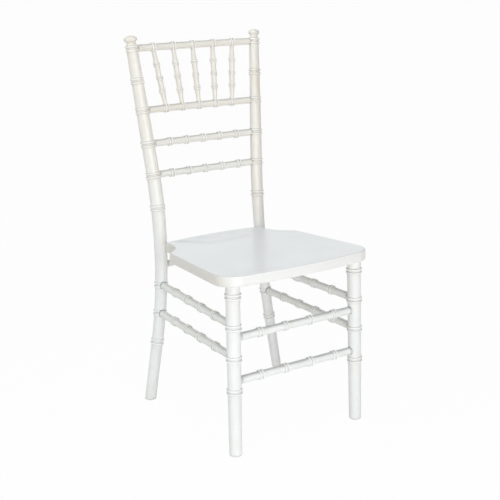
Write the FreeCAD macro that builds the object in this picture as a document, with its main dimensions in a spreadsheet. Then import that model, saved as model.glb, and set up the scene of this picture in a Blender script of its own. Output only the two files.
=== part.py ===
import FreeCAD, Part
import math
import os

import Sketcher

# A bamboo-turned ballroom chair: two bent oval back posts, two round front legs, a pitched seat
# panel, a spindle back over a ladder back, and ringed stretchers.
# Frame: +Z up, front of the chair towards -Y, origin on the floor under the middle of the chair.
# All sizes are in millimetres and degrees.

Vector = FreeCAD.Vector
UP = Vector(0, 0, 1)

# Driving dimensions
SIZES = {
    # Whole chair
    "overall_height": 920,
    "fit_gap": 0.12,
    "cope_gap": 0.2,
    # Centre line of a back post: a straight foot, a long bend and a straight back
    "post_foot_x": 199.4,
    "post_foot_y": 149.3,
    "post_bend_x": 137.9,
    "post_bend_y": 153.4,
    "post_bend_z": 373.9,
    "post_top_x": 180,
    "post_top_y": 238.6,
    "post_bend_radius": 1591,
    # Oval section of a back post: width in the plane of the bend and depth across it, by height
    "post_level_1": 0,
    "post_width_1": 28.7,
    "post_depth_1": 24.4,
    "post_level_2": 150,
    "post_width_2": 29.2,
    "post_depth_2": 25.8,
    "post_level_3": 300,
    "post_width_3": 31,
    "post_depth_3": 27.2,
    "post_level_4": 430,
    "post_width_4": 33.4,
    "post_depth_4": 28.5,
    "post_level_5": 540,
    "post_width_5": 34.8,
    "post_depth_5": 29.8,
    "post_level_6": 680,
    "post_width_6": 32.2,
    "post_depth_6": 28.6,
    "post_level_7": 800,
    "post_width_7": 30,
    "post_depth_7": 25.4,
    "post_level_8": 897,
    "post_width_8": 28,
    "post_depth_8": 23.6,
    # Heights of the double rings on a back post, from the top down
    "post_ring_1": 891.9,
    "post_ring_2": 814.6,
    "post_ring_3": 742.4,
    "post_ring_4": 660.8,
    "post_ring_5": 583.7,
    "post_ring_6": 501.2,
    "post_ring_7": 304.7,
    "post_ring_8": 231.8,
    "post_ring_9": 155.3,
    "post_bead": 4.6,
    "post_bead_pitch": 9.3,
    "foot_round": 2.5,
    # Finial on a back post
    "finial_neck_width": 24.5,
    "finial_cap_width": 33,
    "finial_crown": 9,
    # Front legs: place under the seat's front corner, and how far the foot stands out from there
    "leg_front_inset": 41.4,
    "leg_side_inset": 40.7,
    "leg_rake": 19,
    "leg_splay": 4.9,
    # Leg diameters, and double rings along the leg: the first down from the seat, the others up
    # from the floor
    "leg_foot_diameter": 30.2,
    "leg_knee_diameter": 31.8,
    "leg_top_diameter": 33.2,
    "leg_ring_drop": 26.9,
    "leg_ring_2": 312.2,
    "leg_ring_3": 237.5,
    "leg_ring_4": 158.5,
    "leg_bead": 5.4,
    "leg_bead_pitch": 9.4,
    "leg_tenon_diameter": 18,
    "leg_tenon_length": 14,
    # Small swelling of every turned piece next to a double ring
    "swell": 0.5,
    "swell_length": 8,
    # Rails of the back
    "rail_diameter": 17.2,
    "rail_bead": 4.2,
    "rail_bead_pitch": 6.5,
    "rail_bow": 8,
    "top_rail_ring_spacing": 57.6,
    "spindle_rail_ring_spacing": 48.7,
    "ladder_rail_ring_spacing": 49.2,
    "rear_rail_drop": 32.4,
    "rear_rail_diameter": 16.5,
    # Stretchers between the legs
    "side_stretcher_diameter": 18.3,
    "side_upper_front_height": 313.8,
    "side_lower_front_height": 238.9,
    "side_ring_spacing": 68,
    "front_stretcher_diameter": 18.7,
    "front_upper_height": 286,
    "front_lower_height": 182,
    "front_ring_spacing": 70.8,
    # Spindles
    "spindle_end_diameter": 10.4,
    "spindle_middle_diameter": 13.4,
    "spindle_bead": 2.4,
    "spindle_bead_pitch": 5.2,
    "spindle_ring_spacing": 33,
    "spindle_seating": 5.5,
    # Mortise and tenon joints
    "tenon_diameter": 12,
    "tenon_length": 13,
    "socket_depth": 3,
    "mortise_air": 1,
    # Headless pins that lock the tenons
    "pin_diameter": 1.6,
    "pin_length": 12,
    "pin_sink": 0.6,
    # Seat panel
    "seat_height": 423.7,
    "seat_pitch": 3.55,
    "seat_thickness": 25,
    "seat_front_reach": 252,
    "seat_front_bow": 16.7,
    "seat_front_half": 212.5,
    "seat_corner_radius": 52,
    "seat_shoulder_half": 187,
    "seat_shoulder_reach": 54,
    "seat_shoulder_radius": 12,
    "seat_cove_radius": 80,
    "seat_back_bow": 14.2,
    # Corners of the seat's tongue: how far each lies inside and ahead of the post's centre
    "seat_ear_in": 5.3,
    "seat_ear_ahead": 14.9,
    "seat_back_in": 12.3,
    "seat_back_ahead": 10.5,
    "seat_edge_round": 2.5,
    # Screws and plugs that hold the seat between the posts
    "screw_diameter": 5,
    "screw_length": 48,
    "screw_head_diameter": 9,
    "screw_head_height": 4,
    "plug_diameter": 10,
    "plug_depth": 6,
    "screw_inward": 33,
    # Glides under the feet
    "glide_diameter": 18,
    "glide_thickness": 3,
    "glide_stand": 1,
    "glide_nail_diameter": 2.2,
    "glide_nail_length": 14,
}

doc = FreeCAD.newDocument("ChiavariChair")
sheet = doc.addObject("Spreadsheet::Sheet", "Sizes")
for row, (alias, value) in enumerate(SIZES.items(), start=1):
    sheet.set(f"A{row}", alias)
    sheet.set(f"B{row}", str(value))
    sheet.setAlias(f"B{row}", alias)
doc.recompute()


def size(alias):
    """The value of one driving dimension."""
    return float(sheet.get(alias))


def value_of(expression):
    """The number that an expression over the sheet gives."""
    return float(sheet.evalExpression(expression))


# Helpers for document objects


def bound(type_name, label, placement=None, **expressions):
    """A document object whose properties follow expressions over the sheet."""
    item = doc.addObject(type_name, label)
    item.Label = label
    for name, expression in expressions.items():
        item.setExpression(name, expression)
    if placement is not None:
        item.Placement = placement
    return item


def along(origin, direction):
    """The placement whose local Z runs along direction from origin."""
    return FreeCAD.Placement(origin, FreeCAD.Rotation(UP, direction))


def rod(label, start, direction, length, radius):
    """A cylinder from start along direction; radius is an expression."""
    item = bound("Part::Cylinder", label, along(start, direction), Radius=radius)
    item.Height = length
    return item


def compound(label, items):
    item = doc.addObject("Part::Compound", label)
    item.Label = label
    item.Links = items
    return item


def fused(label, items):
    item = doc.addObject("Part::MultiFuse", label)
    item.Label = label
    item.Shapes = items
    return item


def cut(label, base, tools):
    item = doc.addObject("Part::Cut", label)
    item.Label = label
    item.Base = base
    item.Tool = fused(label + "_tools", tools) if len(tools) > 1 else tools[0]
    item.Refine = False
    return item


def mirrored(label, source):
    """The same piece on the other side of the chair."""
    item = doc.addObject("Part::Mirroring", label)
    item.Label = label
    item.Source = source
    item.Base = Vector(0, 0, 0)
    item.Normal = Vector(1, 0, 0)
    return item


# Turned pieces: closed half profiles revolved about the local Z axis


def turn(body, name, corners, arcs=()):
    """Revolves the closed profile through corners, each a pair of radius and height expressions.
    A radius of None lies on the axis. Sides named in arcs are half round and stand outwards."""
    points = [Vector(value_of(r) if r else 0, value_of(h), 0) for r, h in corners]
    sketch = body.newObject("Sketcher::SketchObject", name + "_profile")
    plane = [f for f in body.Origin.OriginFeatures if f.Role == "XZ_Plane"][0]
    sketch.AttachmentSupport = [(plane, "")]
    sketch.MapMode = "FlatFace"
    count = len(points)
    for index, start in enumerate(points):
        end = points[(index + 1) % count]
        if index in arcs:
            middle = (start + end) * 0.5 + Vector((end - start).Length / 2, 0, 0)
            sketch.addGeometry(Part.Arc(start, middle, end), False)
        else:
            sketch.addGeometry(Part.LineSegment(start, end), False)
    for index in range(count):
        following = (index + 1) % count
        sketch.addConstraint(Sketcher.Constraint("Coincident", index, 2, following, 1))
    for index, (radius, height) in enumerate(corners):
        if radius is None:
            sketch.addConstraint(Sketcher.Constraint("PointOnObject", index, 1, -2))
        else:
            pin_down(sketch, "DistanceX", (index, 1), points[index].x, radius)
        pin_down(sketch, "DistanceY", (index, 1), points[index].y, height)
        if index in arcs:
            pin_down(sketch, "DistanceX", (index, 3), points[index].x, radius)
    revolution = body.newObject("PartDesign::Revolution", name)
    revolution.Profile = sketch
    revolution.ReferenceAxis = (sketch, ["V_Axis"])
    revolution.Angle = 360
    return revolution


def pin_down(sketch, kind, point, number, expression):
    """Constrains one coordinate of a point of the sketch to an expression."""
    if number < 0:
        constraint = Sketcher.Constraint(kind, *point, -1, 1, -number)
        expression = f"-({expression})"
    else:
        constraint = Sketcher.Constraint(kind, -1, 1, *point, number)
    index = sketch.addConstraint(constraint)
    sketch.setExpression(f"Constraints[{index}]", expression)


def double_ring(body, name, station, radius, family):
    """Two half-round beads side by side, with the stem swelling gently up to them."""
    bead = f"Sizes.{family}_bead / 2"
    pitch = f"Sizes.{family}_bead_pitch / 2"
    crest = f"({radius}) + Sizes.swell"
    reach = f"{pitch} + {bead} + Sizes.swell_length"
    corners = [
        (None, f"{station} - ({reach})"),
        (radius, f"{station} - ({reach})"),
        (crest, f"{station} - {pitch} - {bead}"),
        (crest, f"{station} - {pitch} + {bead}"),
        (crest, f"{station} + {pitch} - {bead}"),
        (crest, f"{station} + {pitch} + {bead}"),
        (radius, f"{station} + {reach}"),
        (None, f"{station} + {reach}"),
    ]
    turn(body, name, corners, arcs=(2, 4))


# Layout: centre lines of the post and the leg on the right of the chair, as seen from the front
# with the front towards -Y. The left side is their mirror image.


class Post:
    """A bent oval post: a straight foot and a straight back joined by a tangent arc."""

    levels = range(1, 9)
    rings = range(1, 10)

    def __init__(self):
        self.foot = Vector(size("post_foot_x"), size("post_foot_y"), 0)
        bend = Vector(size("post_bend_x"), size("post_bend_y"), size("post_bend_z"))
        top = Vector(size("post_top_x"), size("post_top_y"), size("overall_height"))
        self.climb = (bend - self.foot).normalize()
        self.rise = (top - bend).normalize()
        self.turn = self.climb.getAngle(self.rise)
        self.radius = size("post_bend_radius")
        run = self.radius * math.tan(self.turn / 2)
        self.start = bend - self.climb * run
        self.end = bend + self.rise * run
        self.across = self.climb.cross(self.rise).normalize()
        self.spoke = self.climb.cross(self.across).normalize()
        self.centre = self.start - self.spoke * self.radius

    def placement(self, height):
        """Centre of the post at a height, with local Z along it and local X in the bend's plane."""
        if height <= self.start.z:
            point = self.foot + self.climb * (height / self.climb.z)
            direction = self.climb
        elif height >= self.end.z:
            point = self.end + self.rise * ((height - self.end.z) / self.rise.z)
            direction = self.rise
        else:
            low, high = 0.0, self.turn
            for _ in range(50):
                angle = (low + high) / 2
                offset = self.spoke * math.cos(angle) + self.climb * math.sin(angle)
                point = self.centre + offset * self.radius
                low, high = (angle, high) if point.z < height else (low, angle)
            direction = self.climb * math.cos(angle) - self.spoke * math.sin(angle)
        wide = self.across.cross(direction).normalize()
        return FreeCAD.Placement(point, FreeCAD.Rotation(wide, self.across, direction, "ZXY"))

    def half_axes(self, height):
        """Half width and half depth of the section, running straight between the levels."""
        rows = [[size(f"post_{key}_{n}") for key in ("level", "width", "depth")] for n in self.levels]
        upper = next((n for n in range(1, len(rows)) if height <= rows[n][0]), len(rows) - 1)
        (low, low_width, low_depth), (high, high_width, high_depth) = rows[upper - 1], rows[upper]
        share = (height - low) / (high - low)
        width = low_width + (high_width - low_width) * share
        depth = low_depth + (high_depth - low_depth) * share
        return width / 2, depth / 2


def seat_top(reach):
    """Height of the seat's top face at a distance behind the middle of the chair."""
    return size("seat_height") - reach * math.tan(math.radians(size("seat_pitch")))


class Leg:
    """A straight round leg that thickens from its foot to its knee and to its top."""

    def __init__(self):
        x = size("seat_front_half") - size("leg_side_inset")
        y = size("leg_front_inset") - size("seat_front_reach")
        self.seat = Vector(x, y, seat_top(y))
        self.foot = Vector(x + size("leg_splay"), y - size("leg_rake"), 0)
        self.climb = (self.seat - self.foot).normalize()

    def placement(self, height):
        return along(self.foot + self.climb * (height / self.climb.z), self.climb)

    def half_axes(self, height):
        knee, top = size("leg_ring_4"), self.seat.z
        low, high = size("leg_foot_diameter"), size("leg_knee_diameter")
        share = height / knee
        if height > knee:
            low, high = high, size("leg_top_diameter")
            share = (height - knee) / (top - knee)
        radius = (low + (high - low) * share) / 2
        return radius, radius


def to_surface(host, height, offset, way):
    """Distance along way from the host's centre line, moved by offset, to the host's surface."""
    turn_back = host.placement(height).Rotation.inverted()
    half_width, half_depth = host.half_axes(height)
    start, step = turn_back.multVec(offset), turn_back.multVec(way)
    a = (step.x / half_width) ** 2 + (step.y / half_depth) ** 2
    b = start.x * step.x / half_width**2 + start.y * step.y / half_depth**2
    c = (start.x / half_width) ** 2 + (start.y / half_depth) ** 2 - 1
    return (math.sqrt(b * b - a * c) - b) / a


def other_side(point):
    return Vector(-point.x, point.y, point.z)


POST = Post()
LEG = Leg()
INWARD = Vector(-1, 0, 0)
BACKWARD = Vector(0, 1, 0)
OUTWARD = Vector(1, 0, 0)
seat_frame = FreeCAD.Placement(
    Vector(0, 0, size("seat_height")),
    FreeCAD.Rotation(Vector(1, 0, 0), -size("seat_pitch")),
)
SEAT_UP = seat_frame.Rotation.multVec(UP)
mid_seat = seat_top(POST.placement(size("seat_height")).Base.y) - size("seat_thickness") / 2
POST_AT_SEAT = POST.placement(mid_seat).Base


# Mortise and tenon joints on the right side of the chair


class Joint:
    """A tenon in a post or leg. Out points from the host's centre line along the bar."""

    def __init__(self, name, host, height, out, bar_diameter, pin_towards):
        centre = host.placement(height).Base
        axis = host.placement(height).Rotation.multVec(UP)
        self.name = name
        self.out = out
        self.bar_diameter = bar_diameter
        self.surface = to_surface(host, height, Vector(0, 0, 0), out)
        self.shoulder = centre + out * (self.surface - size("socket_depth"))
        self.tip = self.shoulder - out * size("tenon_length")
        self.pin_way = axis.cross(out).normalize()
        if self.pin_way.dot(pin_towards) < 0:
            self.pin_way = self.pin_way * -1
        self.middle = (self.shoulder + self.tip) * 0.5
        self.pin_cover = to_surface(host, height, self.middle - centre, self.pin_way)

    def host_tools(self):
        """The mortise, the shallow socket for the whole bar, and the pin's hole."""
        bottom = self.tip - self.out * size("mortise_air")
        depth = size("tenon_length") + size("mortise_air") + size("socket_depth") / 2
        reach = size("socket_depth") + size("leg_bead") * 2
        narrow = "Sizes.tenon_diameter / 2 + Sizes.fit_gap"
        wide = f"Sizes.{self.bar_diameter} / 2 + Sizes.fit_gap"
        return [
            rod(self.name + "_mortise", bottom, self.out, depth, narrow),
            rod(self.name + "_socket", self.shoulder, self.out, reach, wide),
            self.pin_hole(),
        ]

    def pin_length(self):
        """The pin ends inside the tenon, short of its far side."""
        return min(size("pin_length"), self.pin_cover + size("tenon_diameter") / 4)

    def pin_hole(self, flip=False):
        side = other_side if flip else Vector
        name = self.name + ("_pin_hole_left" if flip else "_pin_hole")
        start = self.middle + self.pin_way * (self.pin_cover + size("leg_bead"))
        length = size("leg_bead") + self.pin_length() + size("fit_gap")
        radius = "Sizes.pin_diameter / 2 + Sizes.fit_gap"
        return rod(name, side(start), side(self.pin_way * -1), length, radius)

    def pin(self):
        start = self.middle + self.pin_way * (self.pin_cover - size("pin_sink"))
        length = self.pin_length() - size("pin_sink")
        return rod(self.name + "_pin", start, self.pin_way * -1, length, "Sizes.pin_diameter / 2")


def bar_between(name, lower, upper, diameter):
    """Joints at both ends of a bar whose centre line runs between two hosts at two heights."""
    (host_a, height_a, towards_a), (host_b, height_b, towards_b) = lower, upper
    out = (host_b.placement(height_b).Base - host_a.placement(height_a).Base).normalize()
    return (
        Joint(name + "_rear", host_a, height_a, out, diameter, towards_a),
        Joint(name + "_front", host_b, height_b, out * -1, diameter, towards_b),
    )


BACK_RAILS = {
    "top_rail": ("post_ring_1", "top_rail_ring_spacing", "rail_bow"),
    "spindle_rail": ("post_ring_3", "spindle_rail_ring_spacing", "rail_bow"),
    "ladder_rail_upper": ("post_ring_4", "ladder_rail_ring_spacing", None),
    "ladder_rail_lower": ("post_ring_5", "ladder_rail_ring_spacing", None),
}


class BowedLine:
    """The centre line of a rail that bows backwards between the post centres."""

    def __init__(self, height):
        end = POST.placement(height).Base
        bow = size("rail_bow")
        self.radius = (end.x**2 + bow**2) / (2 * bow)
        self.centre = Vector(0, end.y + bow - self.radius, height)
        self.end_angle = math.asin(end.x / self.radius)

    def at(self, x):
        """Point of the line at x, and the direction of the line there, towards +X."""
        angle = math.asin(x / self.radius)
        spoke = Vector(math.sin(angle), math.cos(angle), 0)
        return self.centre + spoke * self.radius, Vector(math.cos(angle), -math.sin(angle), 0)


def rail_line(rail):
    """A function of x that gives the point and direction of a back rail's centre line."""
    height_name, _, bow = BACK_RAILS[rail]
    if bow:
        return BowedLine(size(height_name)).at
    end = POST.placement(size(height_name)).Base
    return lambda x: (Vector(x, end.y, end.z), OUTWARD)


rail_joints = {}
for rail, (height_name, _, _) in BACK_RAILS.items():
    end = POST.placement(size(height_name)).Base
    out = rail_line(rail)(end.x)[1] * -1
    rail_joints[rail] = Joint(rail, POST, size(height_name), out, "rail_diameter", BACKWARD)

rear_rail_height = mid_seat - size("seat_thickness") / 2 - size("rear_rail_drop")
rear_rail_joint = Joint(
    "rear_seat_rail", POST, rear_rail_height, INWARD, "rear_rail_diameter", BACKWARD
)
front_joints = {
    name: Joint(name, LEG, size(height), INWARD, "front_stretcher_diameter", BACKWARD)
    for name, height in (
        ("front_stretcher_upper", "front_upper_height"),
        ("front_stretcher_lower", "front_lower_height"),
    )
}
side_joints = {
    name: bar_between(
        name,
        (POST, size(back_height), OUTWARD),
        (LEG, size(front_height), OUTWARD),
        "side_stretcher_diameter",
    )
    for name, back_height, front_height in (
        ("side_stretcher_upper", "post_ring_7", "side_upper_front_height"),
        ("side_stretcher_lower", "post_ring_8", "side_lower_front_height"),
    )
}
post_joints = [*rail_joints.values(), rear_rail_joint, *(pair[0] for pair in side_joints.values())]
leg_joints = [*front_joints.values(), *(pair[1] for pair in side_joints.values())]


# Straight bars with tenons at both ends


def tenoned_bar(name, start, end, diameter, ring_spacing=None, ring_count=0):
    """A turned bar between two shoulders, with evenly spaced double rings about its middle."""
    length = (end - start).Length
    body = doc.addObject("PartDesign::Body", name + "_turning")
    bar, tenon = f"Sizes.{diameter} / 2", "Sizes.tenon_diameter / 2"
    stem = [
        (None, "0"),
        (tenon, "0"),
        (tenon, "Sizes.tenon_length"),
        (bar, "Sizes.tenon_length"),
        (bar, f"Sizes.tenon_length + {length}"),
        (tenon, f"Sizes.tenon_length + {length}"),
        (tenon, f"Sizes.tenon_length * 2 + {length}"),
        (None, f"Sizes.tenon_length * 2 + {length}"),
    ]
    turn(body, name + "_stem", stem)
    for number in range(ring_count):
        steps = number - (ring_count - 1) / 2
        station = f"(Sizes.tenon_length + {length / 2} + {steps} * Sizes.{ring_spacing})"
        double_ring(body, f"{name}_ring_{number + 1}", station, bar, "rail")
    direction = (end - start).normalize()
    body.Placement = along(start - direction * size("tenon_length"), direction)
    return body


def cross_bar(name, joint, **rings):
    """A bar that runs straight across the chair, drilled for its pins."""
    body = tenoned_bar(name, other_side(joint.shoulder), joint.shoulder, joint.bar_diameter, **rings)
    return cut(name, body, [joint.pin_hole(), joint.pin_hole(flip=True)])


# Spindles

SPINDLES = range(1, 6)
SPINDLE_RINGS = range(-1, 2)


class Spindle:
    """A spindle between a ring of the spindle rail and the same ring of the top rail."""

    def __init__(self, number):
        steps = number - (len(SPINDLES) + 1) / 2
        self.name = f"spindle_{number}"
        low = rail_line("spindle_rail")(steps * size("spindle_rail_ring_spacing"))[0]
        high = rail_line("top_rail")(steps * size("top_rail_ring_spacing"))[0]
        self.up = (high - low).normalize()
        self.inset = size("rail_diameter") / 2 - size("spindle_seating")
        self.low, self.high = low + self.up * self.inset, high - self.up * self.inset

    def hole(self, rail):
        """The blind hole that takes an end of the spindle."""
        end, way = (self.low, self.up) if rail == "spindle_rail" else (self.high, self.up * -1)
        bottom = end - way * size("mortise_air")
        length = size("mortise_air") + size("rail_diameter")
        radius = "Sizes.spindle_end_diameter / 2 + Sizes.fit_gap"
        return rod(f"{self.name}_hole_{rail}", bottom, way, length, radius)

    def build(self):
        length = (self.high - self.low).Length
        body = doc.addObject("PartDesign::Body", self.name)
        body.Label = self.name
        end, middle = "Sizes.spindle_end_diameter / 2", "Sizes.spindle_middle_diameter / 2"
        straight = size("rail_diameter") / 2 + size("rail_bead")
        waist = f"{length / 2} - Sizes.spindle_ring_spacing"
        stem = [
            (None, "0"),
            (end, "0"),
            (end, f"{straight}"),
            (middle, waist),
            (middle, f"{length} - ({waist})"),
            (end, f"{length - straight}"),
            (end, f"{length}"),
            (None, f"{length}"),
        ]
        turn(body, self.name + "_stem", stem)
        for step in SPINDLE_RINGS:
            station = f"({length / 2} + {step} * Sizes.spindle_ring_spacing)"
            double_ring(body, f"{self.name}_ring_{step + 2}", station, middle, "spindle")
        body.Placement = along(self.low, self.up)
        return body


spindles = [Spindle(number) for number in SPINDLES]


# Back rails


def bowed_rail(name, joint):
    """A bent round bar: an arc of a torus with tenons along its ends and beads round it."""
    line = BowedLine(size(BACK_RAILS[name][0]))
    spacing = BACK_RAILS[name][1]
    half_angle = math.degrees(math.asin(joint.shoulder.x / line.radius))
    stem = bound("Part::Torus", name + "_stem", Radius2="Sizes.rail_diameter / 2")
    stem.Radius1 = line.radius
    stem.Angle3 = half_angle * 2
    stem.Placement = FreeCAD.Placement(line.centre, FreeCAD.Rotation(UP, 90 - half_angle))
    pieces = [stem]
    tip = joint.shoulder - joint.out * size("tenon_length")
    overlap = size("tenon_length") + size("socket_depth")
    for side, start in ((Vector, tip), (other_side, tip)):
        radius = "Sizes.tenon_diameter / 2"
        pieces.append(rod(name + "_tenon", side(start), side(joint.out), overlap, radius))
    for number in SPINDLES:
        x = (number - (len(SPINDLES) + 1) / 2) * size(spacing)
        point, direction = line.at(x)
        for half_step in (-0.5, 0.5):
            place = along(point + direction * (half_step * size("rail_bead_pitch")), direction)
            bead = bound(
                "Part::Torus",
                f"{name}_bead",
                place,
                Radius1="Sizes.rail_diameter / 2",
                Radius2="Sizes.rail_bead / 2",
            )
            pieces.append(bead)
    rough = fused(name + "_turning", pieces)
    holes = [joint.pin_hole(), joint.pin_hole(flip=True)]
    return cut(name, rough, holes + [spindle.hole(name) for spindle in spindles])


# Back posts


def oval(height, extra=0.0, share=1.0):
    """The oval section of the post at a height, made larger by extra or scaled by share."""
    half_width, half_depth = POST.half_axes(height)
    ellipse = Part.Ellipse(Vector(0, 0, 0), half_width * share + extra, half_depth * share + extra)
    wire = Part.Wire([ellipse.toShape()])
    wire.Placement = POST.placement(height)
    return wire


def ring_stretches(height):
    """The stretches of a double ring: swell, bead, groove, bead and swell, from the bottom up.
    Each stretch is a list of pairs of height and extra half width."""
    bead, pitch = size("post_bead") / 2, size("post_bead_pitch") / 2
    swell, reach = size("swell"), pitch + bead + size("swell_length")
    rise = POST.placement(height).Rotation.multVec(UP).z
    beads = [
        [
            (middle + bead * math.sin(angle), swell + bead * math.cos(angle))
            for angle in (math.radians(degrees) for degrees in (-90, -50, -18, 18, 50, 90))
        ]
        for middle in (-pitch, pitch)
    ]
    groove = [beads[0][-1], beads[1][0]]
    stretches = [[(-reach, 0), beads[0][0]], beads[0], groove, beads[1], [beads[1][-1], (reach, 0)]]
    return [[(height + offset * rise, extra) for offset, extra in stretch] for stretch in stretches]


def post_stretches():
    """The wires of every stretch of a back post, from its foot to its finial."""
    stretches = []
    low = -size("glide_nail_length")
    for ring in reversed(POST.rings):
        ring_part = ring_stretches(size(f"post_ring_{ring}"))
        high = ring_part[0][0][0]
        shaft = [low + (high - low) * share for share in (0, 0.25, 0.5, 0.75, 1)]
        stretches.append([oval(height) for height in shaft])
        stretches += [[oval(*row) for row in stretch] for stretch in ring_part]
        low = ring_part[-1][-1][0]
    stretches[-1][-1] = oval(low, 0, finial_share(low))
    stretches += finial_stretches(low)
    return stretches


def finial_share(height, width_name="finial_neck_width"):
    """A finial width as a share of the post's own width at that height."""
    return size(width_name) / 2 / POST.half_axes(height)[0]


def finial_stretches(low):
    """A neck that flares into a mushroom cap with a low crown."""
    last = math.radians(78)
    lean = POST.rise.z
    tip_radius = size("finial_cap_width") / 2 * math.cos(last)
    rim = size("overall_height") - tip_radius * math.sqrt(1 - lean**2) - size("finial_crown") * lean
    crown = []
    for angle in (last * step / 3 for step in range(4)):
        rise = size("finial_crown") * math.sin(angle) / math.sin(last)
        crown.append((rim + rise * lean, math.cos(angle)))
    flare = [(0, 0), (0.3, 0.02), (0.62, 0.42), (0.85, 0.86), (1, 1)]
    neck, cap = size("finial_neck_width"), size("finial_cap_width")
    wires = []
    for along_share, out_share in flare:
        height = low + (rim - low) * along_share
        width = neck + (cap - neck) * out_share
        wires.append(oval(height, 0, width / 2 / POST.half_axes(height)[0]))
    top_wires = [wires[-1]]
    for height, share in crown[1:]:
        top_wires.append(oval(height, 0, finial_share(height, "finial_cap_width") * share))
    return [wires, top_wires]


def skinned(stretches):
    """One solid from stretches of wires that meet end to end."""
    faces = []
    for wires in stretches:
        faces += Part.makeLoft(wires, False, len(wires) == 2).Faces
    faces += [Part.Face(stretches[0][0]), Part.Face(stretches[-1][-1])]
    skin = Part.makeCompound(faces)
    skin.sewShape()
    solid = Part.Solid(skin.Shells[0])
    solid.fix(0.0001, 0.0001, 0.0001)
    return solid if solid.Volume > 0 else solid.reversed()


def slab_below(height):
    """A block that fills the space under a height, used to cut the feet level."""
    side = size("overall_height")
    block = Part.makeBox(side, side, side)
    block.Placement.Base = Vector(-side / 2, -side / 2, height - side)
    return block


def round_foot(shape, radius):
    """Rounds the edge where a foot meets the floor."""
    low = min(edge.BoundBox.ZMax for edge in shape.Edges)
    edges = [edge for edge in shape.Edges if edge.BoundBox.ZMax < low + 0.01]
    return shape.makeFillet(radius, edges)


post_turning = doc.addObject("Part::Feature", "back_post_turning")
post_solid = skinned(post_stretches()).cut(slab_below(size("glide_stand")))
post_turning.Shape = round_foot(post_solid, size("foot_round"))


# Screws through the posts into the tongue of the seat, under flush wooden plugs


def seat_screw_line():
    """The way from the post's centre into the seat, and the depth of wood behind that centre."""
    inward = math.radians(size("screw_inward"))
    level = seat_frame.Rotation.multVec(Vector(-math.sin(inward), -math.cos(inward), 0))
    return level, to_surface(POST, POST_AT_SEAT.z, Vector(0, 0, 0), level * -1)


screw_way, screw_cover = seat_screw_line()
plug_start = POST_AT_SEAT - screw_way * (screw_cover + size("post_bead"))
plug_bottom = POST_AT_SEAT - screw_way * (screw_cover - size("plug_depth"))
head_top = plug_bottom + screw_way * size("fit_gap")
screw_tip = head_top + screw_way * size("screw_length")

plug_blank = rod(
    "screw_plug_blank",
    plug_start,
    screw_way,
    (plug_bottom - plug_start).Length,
    "Sizes.plug_diameter / 2",
)
screw_plug = bound("Part::MultiCommon", "screw_plug_right")
screw_plug.Shapes = [plug_blank, post_turning]

screw_head = bound(
    "Part::Cone",
    "screw_head",
    along(head_top, screw_way),
    Radius1="Sizes.screw_head_diameter / 2",
    Radius2="Sizes.screw_diameter / 2",
    Height="Sizes.screw_head_height",
)
screw_shank = rod(
    "screw_shank", head_top, screw_way, size("screw_length"), "Sizes.screw_diameter / 2"
)
seat_screw = fused("seat_screw_right", [screw_head, screw_shank])

plug_seat = rod(
    "screw_plug_seat",
    plug_start,
    screw_way,
    (plug_bottom - plug_start).Length + size("fit_gap") + size("screw_head_height"),
    "Sizes.plug_diameter / 2 + Sizes.fit_gap",
)
screw_bore = rod(
    "screw_bore",
    plug_bottom,
    screw_way,
    size("screw_length") + size("mortise_air"),
    "Sizes.screw_diameter / 2 + Sizes.fit_gap",
)


# Glides


def glide(name, foot):
    """A round glide with its nail, as one turned piece standing on the floor."""
    disc = rod(name + "_disc", foot, UP, size("glide_thickness"), "Sizes.glide_diameter / 2")
    nail = rod(name + "_nail", foot, UP, size("glide_nail_length"), "Sizes.glide_nail_diameter / 2")
    return fused(name, [disc, nail])


def glide_recess(name, foot):
    """The shallow recess and the nail hole under a foot."""
    recess, hole = (
        (size(f"glide_{length}") + size("fit_gap"), f"Sizes.glide_{across} / 2 + Sizes.fit_gap")
        for length, across in (("thickness", "diameter"), ("nail_length", "nail_diameter"))
    )
    return [rod(name + "_recess", foot, UP, *recess), rod(name + "_hole", foot, UP, *hole)]


glide("glide_back_right", POST.foot)
glide("glide_front_right", LEG.foot)


# Finished back posts

post_tools = [tool for joint in post_joints for tool in joint.host_tools()]
post_tools += [plug_seat, screw_bore] + glide_recess("back_foot", POST.foot)
back_post_right = cut("back_post_right", post_turning, post_tools)
back_post_left = mirrored("back_post_left", back_post_right)


# Front legs


def level_block(name, place, below):
    """A block above or below the XY plane of a placement."""
    block = doc.addObject("Part::Box", name)
    block.Length = block.Width = block.Height = size("overall_height")
    half = size("overall_height") / 2
    corner = Vector(-half, -half, -2 * half if below else 0)
    block.Placement = place.multiply(FreeCAD.Placement(corner, FreeCAD.Rotation()))
    return block


def round_lowest_edge(label, source, radius):
    """A fillet on the edge of a leg that is nearest the floor."""
    item = doc.addObject("Part::Fillet", label)
    item.Base = source
    tops = [edge.BoundBox.ZMax for edge in source.Shape.Edges]
    lowest = [number for number, top in enumerate(tops, 1) if top < min(tops) + 0.01]
    item.Edges = [(number, radius, radius) for number in lowest]
    return item


def raised(height):
    """The placement of a level plane at a height."""
    return FreeCAD.Placement(Vector(0, 0, height), FreeCAD.Rotation())


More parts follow.
